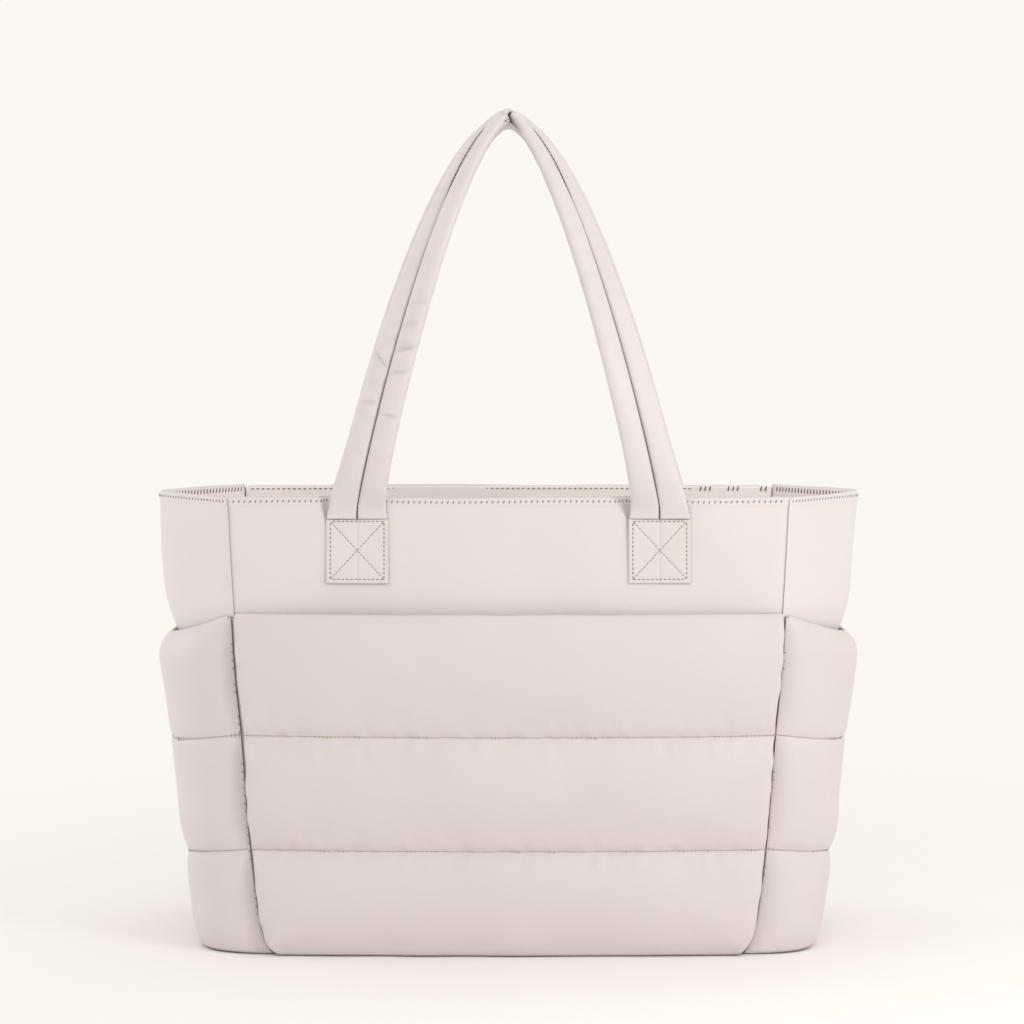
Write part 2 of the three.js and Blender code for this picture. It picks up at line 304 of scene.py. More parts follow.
base_across, base_along = np.meshgrid(spread(BASE_COLUMNS), spread(BASE_ROWS))
base_x, base_y = base_plan(base_across, base_along * BASE_REACH)
base_puff = BASE_CROWN * (1 - base_across**4) * (1 - base_along**4)
base_top = points(base_x, base_y, BASE_THICKNESS - BASE_CROWN + base_puff)
base_foot = points(base_x, base_y, 0.0)
base_shell = shell(base_top, base_foot, **BASE_ROLLS)
base_nylon = puffer_nylon("Base nylon, woven", BASE_COLOUR, BASE_SHADED)
base_panel = make_piece("base_pad", base_shell, base_nylon)
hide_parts("base_panel")

# Front panel
# The smooth padded front wall: two layers of nylon over thin wadding, sewn to the gussets and
# to the base. Its rim is turned in and topstitched all round in a taupe thread.
RIM_HEIGHT = 302.0
FLOOR_CLEARANCE = 0.4
FRONT_COLUMNS = 97
HEM_DEPTH = 6.0
HEM_SWELL = 0.5
HEM_STEP = 3.0
NICK_SHARE = 0.9
NICK_WIDTH = 0.9
FINE_ROWS_FROM = 289.0
RIM_ROLL = 0.6
RIM_REACH = 0.985
RIM_POINTS = 400
RIM_STITCH_DROP = 1.8
RIM_STITCH = {"pitch": 3.7, "length": 2.2, "width": 0.9, "slant": 1.15}
INSIDE_STITCH = {"pitch": 3.7, "length": 1.8, "width": 0.9}
SEAM_TUCK = 1.6
SEAM_TUCK_REACH = 3.0
WALL_SWAY = 0.8
WALL_SWAY_LENGTH = 95.0
RIM_WAVE = 0.5
RIM_WAVE_LENGTH = 150.0
RIM_RISE = 0.4
RIM_RISE_LENGTH = 130.0
DENT_FOOT = 286.0
DENT_DEPTH = 11.0
DENT_UNDER = 9.0

# Dents beside the straps: where the strap's left edge stands, and the dent's width at the rim.
# The wall has closer columns there: the first and last place across it, and how many.
STRAP_DENTS = ((80.0, 11.5), (-120.0, 6.0))
DENT_COLUMNS = ((0.34, 0.5, 26), (-0.69, -0.57, 20))
SHELL_COLOUR = "#e1dad7"
SHELL_SHADED = "#dcd4d1"
LINING_COLOUR = "#fcf6f2"
LINING_SHADED = "#f8f1ec"
THREAD_COLOUR = "#94857b"


def ripple(u, v, wavelength, seed, waves=9):
    """Smooth unevenness of about one unit: a sum of sine waves in seeded directions, whose
    lengths lie round the given wavelength."""
    shortest, longest, usual_peak = 0.7, 1.5, 1.6
    rng = np.random.default_rng(seed)
    turn = rng.uniform(0, 2 * math.pi, waves)
    count = 2 * math.pi / (wavelength * rng.uniform(shortest, longest, waves))
    shift = rng.uniform(0, 2 * math.pi, waves)
    u, v = np.broadcast_arrays(np.asarray(u, float), np.asarray(v, float))
    phase = u[..., None] * count * np.cos(turn) + v[..., None] * count * np.sin(turn) + shift
    return np.sin(phase).sum(axis=-1) * math.sqrt(2 / waves) / usual_peak


def smoothstep(value, start, end):
    """0 before start, 1 after end, and the curve 3t^2 - 2t^3 between."""
    t = np.clip((value - start) / (end - start), 0, 1)
    return t * t * (3 - 2 * t)


def bell(value, width):
    """Bell curve: 1 at nought, falling as e to the power of minus the square of value by width."""
    return np.exp(-((value / width) ** 2))


def tuck(place, half_width):
    """How far a panel's edge is pulled in by its sewn seams: an exponential of the distance."""
    return SEAM_TUCK * np.exp(-(1 - np.abs(place)) * half_width / SEAM_TUCK_REACH)


def hem(height):
    """Swell of the turned-in rim: a soft step below it, and a nick where the topstitch pulls."""
    step = smoothstep(height, RIM_HEIGHT - HEM_DEPTH, RIM_HEIGHT - HEM_DEPTH + HEM_STEP)
    nick = bell(height - RIM_HEIGHT + RIM_STITCH_DROP, NICK_WIDTH)
    return HEM_SWELL * (step - NICK_SHARE * nick)


def wall_sway(x, place, height, seed):
    """Slow unevenness of the front or back wall: none at its sewn sides, and a wave at the rim."""
    slow = WALL_SWAY * ripple(x, height, WALL_SWAY_LENGTH, seed) * (1 - place**4)
    return slow + RIM_WAVE * ripple(x, 0, RIM_WAVE_LENGTH, seed + 2) * (height / RIM_HEIGHT) ** 6


def strap_dents(x, height):
    """Dents that the straps pull into the wall on their left: wedges that widen from the patch's
    corner up to the rim, deepen towards the strap's edge, and die away beneath it."""
    least_width = 0.1
    opened = np.clip((height - DENT_FOOT) / (RIM_HEIGHT - DENT_FOOT), 0, 1)
    dents = 0 * x
    for edge, width in STRAP_DENTS:
        beside = np.clip(1 - (edge - x) / np.maximum(width * opened, least_width), 0, 1)
        under = np.clip(1 - (x - edge) / DENT_UNDER, 0, 1)
        dents = dents + DENT_DEPTH * opened * np.where(x < edge, beside, under)
    return dents


def front_wall(place, height):
    """Outer face of the front wall: x is place times the seams' half-width, and the depth is that
    of the seams with a parabolic crown, its hem, its tucks, a slow unevenness, and the dents beside
    the straps."""
    seam, _, depth, _, _, crown, _ = body_plan(height)
    x = place * (seam - SEAM_GAP / 2)
    face = depth + crown * (1 - place**2) + hem(height) - tuck(place, seam)
    face = face + wall_sway(x, place, height, seed=3) - strap_dents(x, height)
    rise = RIM_RISE * ripple(x, 0, RIM_RISE_LENGTH, seed=7) * (height / RIM_HEIGHT) ** 8
    return points(x, -face, height + rise)


def normals(face, place, height):
    """Outward directions of a face given as a function: the cross product of its two slopes."""
    du, dv = 1e-3, 0.25
    across = face(place + du, height) - face(place - du, height)
    upwards = face(place, height + dv) - face(place, height - dv)
    return unit(np.cross(across, upwards))


def arc_length(line):
    """Distance of each point of a line from its first, along the line."""
    return np.concatenate([[0], np.cumsum(np.linalg.norm(np.diff(line, axis=0), axis=1))])


def ring_quads(index):
    """Quads between neighbouring rings of vertex numbers, each ring closed on itself."""
    return grid_quads(np.hstack([index, index[:, :1]]))


def stitches(line, outward, pitch, length, width, slant=0.0, cluster=0.0):
    """Stitches along a line on the cloth: small loaves, six-sided and tapered at both ends, laid
    at even steps of the line's arc length, half sunk in, and turned by a slant from the line. They
    are left out in places when clusters of a length are asked for."""
    cluster_level = 0.1
    half_wide, half_high, raised = 0.5 * width, 0.35 * width, 0.1 * width
    arc = arc_length(line)
    at = np.arange(pitch / 2, arc[-1], pitch)
    if cluster:
        at = at[ripple(at, line[0, 2], cluster, seed=83) > cluster_level]

    def along_line(values):
        return np.stack([np.interp(at, arc, values[:, k]) for k in range(3)], axis=1)

    def spun(direction, offsets):
        return direction[:, None, None, :] * offsets[None, :, :, None]

    centre = along_line(line)
    up = unit(along_line(outward))
    forward = unit(along_line(np.gradient(line, axis=0)))
    along = math.cos(slant) * forward + math.sin(slant) * np.cross(up, forward)
    across = np.cross(along, up)
    stations = np.array([-0.5, -0.34, 0.34, 0.5])
    girth = np.array([0.35, 1.0, 1.0, 0.35])
    angle = np.arange(6) * math.pi / 3
    ring_across = half_wide * girth[:, None] * np.cos(angle)
    ring_up = half_high * girth[:, None] * np.sin(angle) + raised
    ring_along = length * stations[:, None] * np.ones(6)
    loaf = spun(across, ring_across) + spun(up, ring_up) + spun(along, ring_along)
    cloud = centre[:, None, None, :] + loaf
    index = numbered(ring_across)
    first = index[0][[[0, 3, 2, 1], [0, 5, 4, 3]]]
    last = index[-1][[[0, 1, 2, 3], [0, 3, 4, 5]]]
    one = np.concatenate([ring_quads(index), first, last])[:, ::-1]
    faces = one + index.size * np.arange(len(at))[:, None, None]
    return cloud.reshape(-1, 3), faces.reshape(-1, 4)


def stitch_row(face, place, height, side=1.0, **stitch):
    """Stitches along a line drawn on a face that is given as a function, on one of its sides."""
    place, height = np.broadcast_arrays(np.asarray(place, float), np.asarray(height, float))
    return stitches(face(place, height), normals(face, place, height) * side, **stitch)


def joined(*meshes):
    """Several lots of points and faces as one."""
    starts = np.cumsum([0] + [len(vertices) for vertices, _ in meshes[:-1]])
    vertices = np.concatenate([vertices for vertices, _ in meshes])
    return vertices, np.concatenate([faces + start for start, (_, faces) in zip(starts, meshes)])


def sewing_thread(name, colour):
    """Spun polyester thread: matt, and a little fuzzy and uneven in its surface."""
    fleck_mm = 3
    material = bpy.data.materials.new(name)
    tree = empty_tree(material)
    where = add_node(tree, "ShaderNodeTexCoord")
    fleck = add_node(tree, "ShaderNodeTexNoise", {
        "Vector": where.outputs["Object"], "Scale": 1 / (fleck_mm * MM),
    })
    twist = add_node(tree, "ShaderNodeBump", {
        "Height": fleck.outputs["Fac"], "Strength": 0.3, "Distance": 0.2 * MM,
    })
    thread = add_node(tree, "ShaderNodeBsdfPrincipled", {
        "Base Color": linear_colour(colour), "Roughness": 0.7, "Normal": twist.outputs["Normal"],
    })
    add_node(tree, "ShaderNodeOutputMaterial", {"Surface": thread.outputs["BSDF"]})
    return material


def front_inside(place, height):
    """Inner face of the front wall: the outer one set back by the wall's thickness."""
    return front_wall(place, height) + np.array([0.0, WALL, 0.0])


wall_rows = np.concatenate([
    np.linspace(FLOOR_CLEARANCE, FINE_ROWS_FROM - 1, 58),
    np.linspace(FINE_ROWS_FROM, RIM_HEIGHT - RIM_ROLL, 22),
])
dent_columns = [np.linspace(*columns) for columns in DENT_COLUMNS]
front_columns = np.unique(np.concatenate([spread(FRONT_COLUMNS), *dent_columns]).round(3))
front_place, front_height = np.meshgrid(front_columns, wall_rows)
front_shell = shell(front_wall(front_place, front_height), front_inside(front_place, front_height))
shell_nylon = puffer_nylon("Outer nylon, woven", SHELL_COLOUR, SHELL_SHADED)
lining_cloth = puffer_nylon("Lining polyester, woven", LINING_COLOUR, LINING_SHADED)
front_lining = (lining_cloth, front_place[1:, 1:].size)
front_panel = make_piece("front_wall", front_shell, shell_nylon, lining=front_lining)
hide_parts("front_panel")

taupe_thread = sewing_thread("Taupe thread, spun polyester", THREAD_COLOUR)
rim_line = np.linspace(-RIM_REACH, RIM_REACH, RIM_POINTS)
stitch_height = RIM_HEIGHT - RIM_STITCH_DROP
front_rim = joined(
    stitch_row(front_wall, rim_line, stitch_height, **RIM_STITCH),
    stitch_row(front_inside, rim_line, stitch_height, side=-1.0, **INSIDE_STITCH),
)
make_piece("front_rim_stitches", front_rim, taupe_thread)

# Back panel
# The padded back wall, made like the front one but stuffed in three channels up to the height of
# the pockets' mouths. It is made facing the viewer, and turned half round with its stitches.
MOUTH_HEIGHT = 225.0
QUILT_SEAMS = (70.0, 146.0)
LOWEST_CHANNEL = -22.0
BACK_PUFF = 11.0
STUFFED_SQUARENESS = 10
BACK_COLUMNS = 107
PLAIN_ROWS_ABOVE = 2.0
OVERCAST = {"pitch": 3.3, "length": 3.4, "width": 0.9, "slant": 1.35}
OVERCAST_TO = -0.7
OVERCAST_CLUSTER = 14.0
OVERCAST_POINTS = 100
RIM_THREAD_COLOUR = "#75675e"
QUILT_STITCH = {"pitch": 3.2, "length": 3.1, "width": 0.45}
# Painted shade: thread ticks across the seams, darker than the cloth, stand for the shade of its
# gathers.
PUCKER_SHADE_TICK = {"pitch": 2.7, "length": 2.8, "width": 0.5, "slant": 1.45, "cluster": 45.0}
SEAM_THREAD_LIFT = 0.3
PUCKER_PITCH = 11.0
PUCKER_DEPTH = 0.9
PUCKER_REACH = 7.0
PUCKER_LEAN = 0.35
FOOT_ROWS = (FLOOR_CLEARANCE, 1.3)
FOOT_ROW = 2.9
FOOT_ROUND = 3.6
CLOTH_PITCH = 3.4
CLOTH_SLACK = 0.02
CLOTH_FRAMES = 24
CLOTH_REACH = 6.0
STUFFED_CLOTH = {
    "mass": 0.005, "air_damping": 8, "tension_stiffness": 15, "compression_stiffness": 15,
    "shear_stiffness": 4, "bending_stiffness": 0.05, "use_pressure": True,
    "uniform_pressure_force": 60.0, "vertex_group_mass": "sewn",
}


def channel_place(height, top):
    """Where a height lies in its stuffed channel: 0 at the seam below, 1 at the one above. The
    lowest channel is squashed by the floor, so its lower end lies beneath it."""
    bounds = np.array([LOWEST_CHANNEL, *QUILT_SEAMS, top])
    channel = np.clip(np.searchsorted(bounds, height, side="right") - 1, 0, len(bounds) - 2)
    return (height - bounds[channel]) / (bounds[channel + 1] - bounds[channel])


def fullness(height, top):
    """How full a channel is at a height: a half-ellipse from 0 on each seam to 1 between them,
    rounded off by a quarter circle at the floor."""
    above = np.clip(1 - height / FOOT_ROUND, 0, 1)
    return np.sqrt(np.clip(1 - (2 * channel_place(height, top) - 1) ** 2, 0, None) * (1 - above**2))


def side_taper(place):
    """Stuffing across a quilted piece: full, and rounded off at its two sewn sides."""
    return np.sqrt(np.clip(1 - np.abs(place) ** STUFFED_SQUARENESS, 0, None))


def puckers(along, height, seed):
    """Gathers beside the quilting seams: narrow dents across each seam at uneven steps, which
    die away over a few millimetres on either side. Each seam and side has gathers of its own."""
    seam_apart, side_apart, reach_apart, least_reach = 40, 15, 70, 2
    seams = np.array(QUILT_SEAMS)
    away = height[..., None] - seams
    nearest = np.abs(away).argmin(axis=-1)
    side = np.sign(np.take_along_axis(away, nearest[..., None], axis=-1))[..., 0]
    gap = np.abs(away).min(axis=-1)
    own = seam_apart * nearest + side_apart * side
    waver = ripple(along + PUCKER_LEAN * side * gap, own, PUCKER_PITCH, seed)
    uneven = ripple(along, reach_apart * nearest, 3 * PUCKER_PITCH, seed + 1)
    reach = PUCKER_REACH * (1 + 0.5 * uneven)
    return PUCKER_DEPTH * waver * np.exp(-gap / np.clip(reach, least_reach, None))


def quilt_rows(pitch):
    """Heights from the floor to the mouth in even steps, with one row on each sewn seam."""
    ends = [FOOT_ROW, *QUILT_SEAMS, MOUTH_HEIGHT]
    spans = zip(ends, ends[1:])
    rows = [np.linspace(low, high, round((high - low) / pitch) + 1)[1:] for low, high in spans]
    return np.concatenate([FOOT_ROWS, [FOOT_ROW], *rows])


def sewn_points(rows, columns):
    """Which points of a quilted grid are held: its borders and the rows on the sewn seams."""
    held = np.isin(rows, QUILT_SEAMS)[:, None] | np.zeros(columns, bool)
    held[[0, -1]] = True
    held[:, [0, -1]] = True
    return held


def settle(start, held):
    """A stuffed piece's outer cloth come to rest, by cloth simulation: it is cut a little wider
    than its place, held where it is sewn, and blown up by the wadding until it lies still."""
    mesh = bpy.data.meshes.new("unsettled")
    quads = grid_quads(numbered(start)).tolist()
    mesh.from_pydata((start.reshape(-1, 3) * MM).tolist(), [], quads)
    cloth = placed("unsettled", mesh)
    cloth.vertex_groups.new(name="sewn").add(np.flatnonzero(held).tolist(), 1.0, "REPLACE")
    cloth.shape_key_add(name="start")
    cut = cloth.shape_key_add(name="cut")
    wide = start * np.array([1 + CLOTH_SLACK, 1 + CLOTH_SLACK, 1.0])
    cut.data.foreach_set("co", (wide * MM).ravel())
    rest = cloth.modifiers.new("rest", "CLOTH").settings
    rest.rest_shape_key = cut
    rest.effector_weights.gravity = 0
    for name, value in STUFFED_CLOTH.items():
        setattr(rest, name, value)
    for step in range(1, CLOTH_FRAMES + 1):
        bpy.context.scene.frame_set(step)
    rested = cloth.evaluated_get(bpy.context.evaluated_depsgraph_get()).data
    found = np.empty(held.size * 3)
    rested.vertices.foreach_get("co", found)
    bpy.data.objects.remove(cloth)
    bpy.data.meshes.remove(mesh)
    bpy.context.scene.frame_set(1)
    moved = found.reshape(start.shape) / MM - start
    far = np.linalg.norm(moved, axis=-1, keepdims=True)
    rested_points = start + moved * np.minimum(1, CLOTH_REACH / np.maximum(far, 1e-6))
    rested_points[..., 2] = np.maximum(rested_points[..., 2], FLOOR_CLEARANCE)
    return rested_points


def quilting(outer, rows):
    """Stitches in the sewn seams of settled cloth, and thread ticks across them that stand for the
    painted shade of its gathers.
    """
    lines = []
    for row in np.flatnonzero(np.isin(rows, QUILT_SEAMS)):
        upwards = outer[row + 1] - outer[row - 1]
        outward = unit(np.cross(np.gradient(outer[row], axis=0), upwards))
        line = outer[row] + SEAM_THREAD_LIFT * outward
        lines.append(stitches(line, outward, **QUILT_STITCH))
        lines.append(stitches(line, outward, **PUCKER_SHADE_TICK))
    return joined(*lines)


def smoothed(piece, rows, columns):
    """One subdivision of a quilted piece's mesh, which keeps the seams of its outer face sharp."""
    mesh = piece.data
    ends = np.empty(2 * len(mesh.edges), int)
    mesh.edges.foreach_get("vertices", ends)
    end_rows = ends.reshape(-1, 2) // columns
    sewn = np.isin(end_rows[:, 0], np.flatnonzero(np.isin(rows, QUILT_SEAMS)))
    sharp = mesh.attributes.new("crease_edge", "FLOAT", "EDGE")
    sharp.data.foreach_set("value", (sewn & (end_rows[:, 0] == end_rows[:, 1])).astype(float))
    soft = piece.modifiers.new("soft", "SUBSURF")
    soft.levels = 1
    soft.render_levels = 1


def back_wall(place, height):
    """Outer face of the back wall, facing the viewer: as the front wall, with its own crown and,
    up to the mouths' height, the channels' half-ellipses on top."""
    seam, _, depth, _, _, _, crown = body_plan(height)
    x = place * (seam - SEAM_GAP / 2)
    below = height < MOUTH_HEIGHT
    full = np.where(below, fullness(np.minimum(height, MOUTH_HEIGHT), MOUTH_HEIGHT), 0)
    gathers = np.where(below, puckers(x, height, seed=17), 0) * (1 - place**8)
    stuffing = BACK_PUFF * full * side_taper(place) + gathers
    face = depth + crown * (1 - place**2) + hem(height) - tuck(place, seam)
    face = face + stuffing + wall_sway(x, place, height, seed=13)
    return points(x, -face, height + 0 * place)


def back_inside(place, height):
    """Inner face of the back wall near its rim: the outer one set back by the wall's thickness."""
    return back_wall(place, height) + np.array([0.0, WALL, 0.0])


plain_rows = wall_rows[wall_rows > MOUTH_HEIGHT + PLAIN_ROWS_ABOVE]
back_rows = np.concatenate([quilt_rows(CLOTH_PITCH), plain_rows])
back_place, back_height = np.meshgrid(np.linspace(-1, 1, BACK_COLUMNS), back_rows)
back_held = sewn_points(back_rows, BACK_COLUMNS) | (back_height >= MOUTH_HEIGHT)
back_outer = settle(back_wall(back_place, back_height), back_held)
_, _, back_depth, _, _, _, back_crown = body_plan(back_height)
back_inner = back_outer.copy()
back_inner[..., 1] = -(back_depth + back_crown * (1 - back_place**2) - WALL)
back_shell = shell(back_outer, back_inner)
back_lining = (lining_cloth, back_place[1:, 1:].size)
back_panel = make_piece("back_wall", back_shell, shell_nylon, "back", back_lining)
smoothed(back_panel, back_rows, BACK_COLUMNS)
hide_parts("back_panel")

plain_line = rim_line[rim_line > OVERCAST_TO]
back_sewing = joined(
    stitch_row(back_wall, rim_line, stitch_height, **RIM_STITCH),
    stitch_row(back_inside, plain_line, stitch_height, side=-1.0, **INSIDE_STITCH),
    quilting(back_outer, back_rows),
)
make_piece("back_stitches", back_sewing, taupe_thread, "back")
rim_thread = sewing_thread("Rim thread, spun polyester", RIM_THREAD_COLOUR)
overcast_line = np.linspace(-RIM_REACH, OVERCAST_TO, OVERCAST_POINTS)
back_overcast = stitch_row(
    back_inside, overcast_line, stitch_height, side=-1.0, cluster=OVERCAST_CLUSTER, **OVERCAST)
make_piece("back_rim_overcast", back_overcast, rim_thread, "back")

# Gussets
# The two side walls, of the same padded nylon: each folds outwards to a point at the rim, where
# the bag's mouth lies almost shut, and is round at the floor. The left one is the right one
# turned, with an unevenness of its own.
GUSSET_COLUMNS = 65
GUSSET_SWAY = 1.2
GUSSET_SWAY_LENGTH = 80.0


def gusset_wall(place, height, seed):
    """Outer face of the right gusset: its plan at each height, pushed along x by the hem, by the
    tucks at its two seams, and by a slow unevenness."""
    depth = body_plan(height)[2]
    x, y = gusset_outline(place, height)
    sway = GUSSET_SWAY * ripple(y, height, GUSSET_SWAY_LENGTH, seed) * (1 - place**4)
    return points(x + sway + hem(height) - tuck(place, depth), y, height)


def gusset_inside(place, height):
    """Inner face of the right gusset."""
    return points(*gusset_inner_outline(place, height), height)


gusset_place, gusset_height = np.meshgrid(spread(GUSSET_COLUMNS), wall_rows)
gusset_lining = (lining_cloth, gusset_place[1:, 1:].size)
gusset_inner = gusset_inside(gusset_place, gusset_height)
for side, gusset_seed in (("right", 21), ("left", 23)):
    gusset_face = partial(gusset_wall, seed=gusset_seed)
    gusset_shell = shell(gusset_face(gusset_place, gusset_height), gusset_inner)
    gusset = make_piece(
        f"{side}_side_wall", gusset_shell, shell_nylon, side, gusset_lining)
    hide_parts(f"{side}_gusset")
    rim_stitches = stitch_row(gusset_face, rim_line, stitch_height, **RIM_STITCH)
    make_piece(f"{side}_rim_stitches", rim_stitches, taupe_thread, side)
    overcast = stitch_row(gusset_inside, rim_line, stitch_height, side=-1.0, **OVERCAST)
    make_piece(f"{side}_rim_overcast", overcast, rim_thread, side)

# Front pocket
# A patch pocket over the lower front: nylon stuffed in three channels between sewn seams, closed
# at its sides and foot with round lower corners, open along the top with a rolled edge.
WALL_CLEAR = 0.3
POCKET_INSET = 0.3
POCKET_COLUMNS = 101
POCKET_OVERHANG = 2.2
OVERHANG_AT = 2.0
OVERHANG_LIMIT = 1.5
POCKET_CORNER_INSET = 2.5
POCKET_CORNER_HEIGHT = 8.0
POCKET_WAVER = 0.5
POCKET_WAVER_LENGTH = 13.0
POCKET_SWAY = 0.7
POCKET_SWAY_LENGTH = 60.0
POCKET_LEFT_PULL = 1.2
POCKET_LEFT_PULL_FROM = 95.0
POCKET_LEFT_PULL_TO = 150.0
POCKET_SLOT = 6.5
POCKET_SLOT_FROM = 8.0
POCKET_SLOT_TO = 140.0
SLOT_SQUARENESS = 4
STUFFED_EDGE = 3.0
POCKET_PUFF = 7.3
POCKET_ROUND = 3.5
MOUTH_ROLL = 2.0
POCKET_ROLLS = {"foot": 0.0, "sides": 0.2, "top": 0.5}
EDGE_STITCH = {"pitch": 5.3, "length": 2.0, "width": 0.6, "slant": 0.7, "cluster": 21.0}
EDGE_STITCH_LOW = 14.0
EDGE_STITCH_HIGH = 214.0
EDGE_STITCH_OUT = 1.4
EDGE_STITCH_LIFT = 3.6
EDGE_POINTS = 200
TACK_STITCH = {"pitch": 1.9, "length": 1.9, "width": 0.8, "slant": 0.5}
TACK_REACH = 3.0
TACK_LIFT = 4.0
TACK_DROP = 0.8
TACK_POINTS = 9
POCKET_COLOUR = "#dcd2d0"
POCKET_SHADED = "#d7ccca"
# Painted shade: the pocket's lighter crease colour, which its slits and seams darken towards.
POCKET_CREASE_SHADE = "#a4968f"
QUILT_THREAD_COLOUR = "#b9aba4"

# Distances from a sewn side of the columns that draw its rounded edge, and of the first even one,
# as shares of the patch's usual half-width.
USUAL_HALF_WIDTH = 175.0
EDGE_STEPS = np.array([0.0, 1.0, 2.2, 3.8, 6.0]) / USUAL_HALF_WIDTH
EDGE_END = 9.0 / USUAL_HALF_WIDTH


def pocket_half_width(place, height):
    """Half-width of the patch: the wall's, less an inset, the lower corners' ellipse, a waver of
    the sewn edge, and a little more at the upper left, where the edge has pulled off its seam."""
    below = np.clip(1 - height / POCKET_CORNER_HEIGHT, 0, 1)
    corner = POCKET_CORNER_INSET * (1 - np.sqrt(1 - below**2))
    side_apart = 50 * np.sign(place)
    waver = POCKET_WAVER * ripple(side_apart, height, POCKET_WAVER_LENGTH, seed=35)
    pulled = smoothstep(height, POCKET_LEFT_PULL_FROM, POCKET_LEFT_PULL_TO) * (place < 0)
    return body_plan(height)[0] - POCKET_INSET - corner + waver - POCKET_LEFT_PULL * pulled


def pocket_lining(place, height):
    """Inner face of the patch: it follows the front wall and stands off where its mouth opens."""
    seam, _, depth, _, _, crown, _ = body_plan(height)
    x = place * pocket_half_width(place, height)
    opened = smoothstep(height, POCKET_SLOT_FROM, POCKET_SLOT_TO)
    slot = POCKET_SLOT * opened * (1 - np.abs(place) ** SLOT_SQUARENESS)
    return points(x, -(depth + crown * (1 - (x / seam) ** 2) + WALL_CLEAR + slot), height)


def edge_round(place, half_width, radius):
    """Stuffing beside a pocket's sewn sides: a quarter circle of the radius, then full."""
    inside = np.clip((1 - np.abs(place)) * half_width / radius, 0, 1)
    return np.sqrt(1 - (1 - inside) ** 2)


def pocket_face(place, height):
    """Outer face of the patch: the lining pushed out by a flat edge and the channels'
    half-ellipses, rounded at the sides, where it hangs over its sewn edge by a bell curve, with
    gathers beside the seams."""
    lining = pocket_lining(place, height)
    half_width = pocket_half_width(place, height)
    rounded = edge_round(place, half_width, POCKET_ROUND)
    full = fullness(height, MOUTH_HEIGHT + MOUTH_ROLL)
    beside = (1 - np.abs(place)) * half_width
    hanging = bell(beside - OVERHANG_AT, OVERHANG_AT) * (beside > 0)
    overhang = np.sign(place) * POCKET_OVERHANG * full * hanging
    gathers = puckers(lining[..., 0], height + 0 * place, seed=31)
    sway = POCKET_SWAY * ripple(lining[..., 0], height, POCKET_SWAY_LENGTH, seed=33)
    stuffing = STUFFED_EDGE + (POCKET_PUFF * full + gathers + sway) * rounded
    return lining + points(overhang, -stuffing, 0)


pocket_rows = quilt_rows(CLOTH_PITCH)
pocket_middle = np.linspace(-1 + EDGE_END, 1 - EDGE_END, POCKET_COLUMNS)
pocket_columns = np.concatenate([-1 + EDGE_STEPS, pocket_middle, 1 - EDGE_STEPS[::-1]])
pocket_place, pocket_height = np.meshgrid(pocket_columns, pocket_rows)
pocket_held = sewn_points(pocket_rows, len(pocket_columns))
pocket_outer = settle(pocket_face(pocket_place, pocket_height), pocket_held)
pocket_limit = pocket_half_width(pocket_place, pocket_height) + OVERHANG_LIMIT
pocket_outer[..., 0] = np.clip(pocket_outer[..., 0], -pocket_limit, pocket_limit)
pocket_inner = pocket_lining(pocket_place, pocket_height)
pocket_nylon = puffer_nylon("Pocket nylon, woven", POCKET_COLOUR, POCKET_SHADED, POCKET_CREASE_SHADE)
pocket_shell = shell(pocket_outer, pocket_inner, **POCKET_ROLLS)
front_pocket = make_piece("front_patch_pocket", pocket_shell, pocket_nylon)
smoothed(front_pocket, pocket_rows, len(pocket_columns))
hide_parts("front_pocket")


def both_edges(line, **stitch):
    """Stitches along a line in front of the pocket's right edge, and along its mirror image."""
    outward = points(0 * line[:, 0], -1, 0)
    left_line = line[::-1] * np.array([-1, 1, 1])
    return joined(stitches(line, outward, **stitch), stitches(left_line, outward, **stitch))


corner_x = np.linspace(-TACK_REACH, TACK_REACH, TACK_POINTS)
corner_seam, _, corner_depth = body_plan(MOUTH_HEIGHT)[:3]
corner_line = points(corner_seam + corner_x, -corner_depth - TACK_LIFT, MOUTH_HEIGHT - TACK_DROP)
edge_rows = np.linspace(EDGE_STITCH_LOW, EDGE_STITCH_HIGH, EDGE_POINTS)
edge_seam, _, edge_depth = body_plan(edge_rows)[:3]
edge_line = points(edge_seam + EDGE_STITCH_OUT, -edge_depth - EDGE_STITCH_LIFT, edge_rows)
edge_sewing = joined(both_edges(corner_line, **TACK_STITCH), both_edges(edge_line, **EDGE_STITCH))
make_piece("pocket_edge_stitches", edge_sewing, taupe_thread)
quilt_thread = sewing_thread("Quilting thread, spun polyester", QUILT_THREAD_COLOUR)
make_piece("front_pocket_stitches", quilting(pocket_outer, pocket_rows), quilt_thread)

# Side pockets
# One stuffed pocket on each gusset, sewn in along the upright seams: it stands off the wall, sags
# between its seams, and is open along the top.
SIDE_COLUMNS = 61
SIDE_INSET = 0.15
SIDE_PUFF = 8.5
SIDE_SWAY = 0.7
SIDE_SWAY_LENGTH = 55.0
SIDE_EDGE = 0.8
SIDE_ROUND = 20.0
SIDE_SLOT_FROM = 8.0
SIDE_SLOT_TO = 50.0

# Height, how far the middle of the stuffing stands off the gusset's fold, and how far it sags.
SIDE_STAND = (
    (0, 4.5, 0),
    (10, 8, 1),
    (35, 9.6, 6),
    (52, 12.4, 8.3),
    (70, 15, 10),
    (90, 15.4, 10),
    (108, 14.4, 10),
    (130, 16.9, 10),
    (146, 20.2, 10),
    (165, 18.2, 11),
    (187, 16.2, 13),
    (206, 15, 15.5),
    (216, 11.5, 16.8),
    (225, 5, 18),
)
side_stand = smooth_table(SIDE_STAND)


